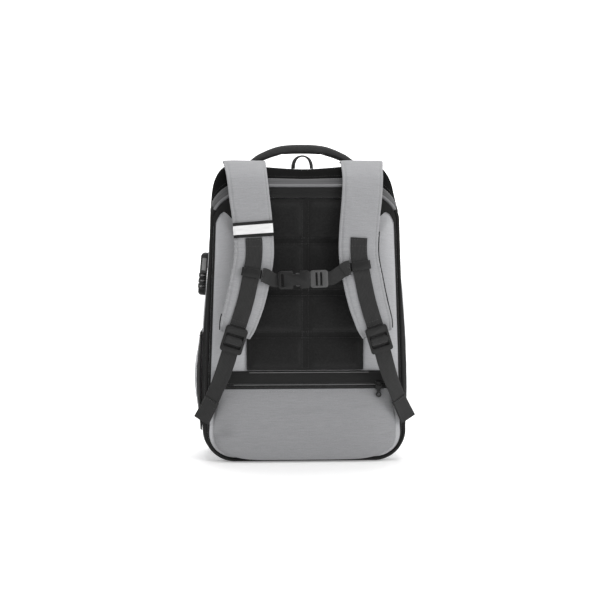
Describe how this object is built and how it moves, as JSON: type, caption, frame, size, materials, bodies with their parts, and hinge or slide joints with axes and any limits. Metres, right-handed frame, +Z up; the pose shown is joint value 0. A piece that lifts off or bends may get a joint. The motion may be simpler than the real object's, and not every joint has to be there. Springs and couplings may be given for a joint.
{
  "type": "laptop backpack",
  "caption": "Grey laptop backpack with padded shoulder straps, quilted mesh back, chest buckle, carry handle, lower zip pocket and a side combination lock, standing on its base.",
  "frame": {"origin": "middle of the flat base", "axes": "+Z up, -Y the wearer's side with the straps, +X to the right of someone facing the straps"},
  "size_m": [0.3434, 0.2225, 0.4904],
  "materials": {
    "grey_fabric": "heathered woven",
    "black_fabric": "matt woven",
    "mesh_fabric": "air mesh",
    "webbing": "ribbed webbing",
    "plastic": "satin",
    "reflective_tape": "reflective",
    "lock_case": "satin"
  },
  "bodies": {
    "bag": {"back_panel": "grey_fabric", "lower_pocket": "grey_fabric", "top_strip": "grey_fabric", "side_panel_left": "grey_fabric", "side_panel_right": "grey_fabric", "bottom_panel": "grey_fabric", "front_panel": "grey_fabric", "bottle_pocket": "grey_fabric", "shoulder_strap_left": "grey_fabric", "shoulder_strap_right": "grey_fabric", "back_yoke": "black_fabric", "lower_band": "black_fabric", "piping": "black_fabric", "edge_zip": "black_fabric", "top_panel": "black_fabric", "pocket_gusset": "black_fabric", "carry_handle": "black_fabric", "reflective_edge_upper": "black_fabric", "reflective_edge_lower": "black_fabric", "back_mesh": "mesh_fabric", "pocket_zip": "webbing", "pocket_hem": "webbing", "strap_webbing_left": "webbing", "strap_webbing_right": "webbing", "lower_webbing_left": "webbing", "lower_webbing_right": "webbing", "corner_tab_left": "webbing", "corner_tab_right": "webbing", "sternum_webbing_left": "webbing", "sternum_webbing_right": "webbing", "hang_loop": "webbing", "zip_slider": "plastic", "ladder_lock_left": "plastic", "ladder_lock_right": "plastic", "sternum_slider_left": "plastic", "sternum_slider_right": "plastic", "buckle_socket": "plastic", "buckle_plug": "plastic", "reflective_band": "reflective_tape", "lock_body": "lock_case"},
    "zip_puller": {"zip_puller": "plastic"},
    "lock_dial_1": {"lock_dial_1": "lock_case"},
    "lock_dial_2": {"lock_dial_2": "lock_case"},
    "lock_dial_3": {"lock_dial_3": "lock_case"}
  },
  "joints": [
    {"name": "puller_swing", "type": "hinge", "parent": "bag", "child": "zip_puller", "pos_m": [0.113, -0.0906, 0.1184], "axis": [-1, 0, 0], "range_deg": [0, 150]},
    {"name": "dial_1_turn", "type": "hinge", "parent": "bag", "child": "lock_dial_1", "pos_m": [-0.1594, -0.05043, 0.27077], "axis": [0.0871, 0, 0.9962], "continuous": true},
    {"name": "dial_2_turn", "type": "hinge", "parent": "bag", "child": "lock_dial_2", "pos_m": [-0.15867, -0.05043, 0.27914], "axis": [0.0871, 0, 0.9962], "continuous": true},
    {"name": "dial_3_turn", "type": "hinge", "parent": "bag", "child": "lock_dial_3", "pos_m": [-0.15794, -0.05043, 0.28751], "axis": [0.0871, 0, 0.9962], "continuous": true}
  ]
}
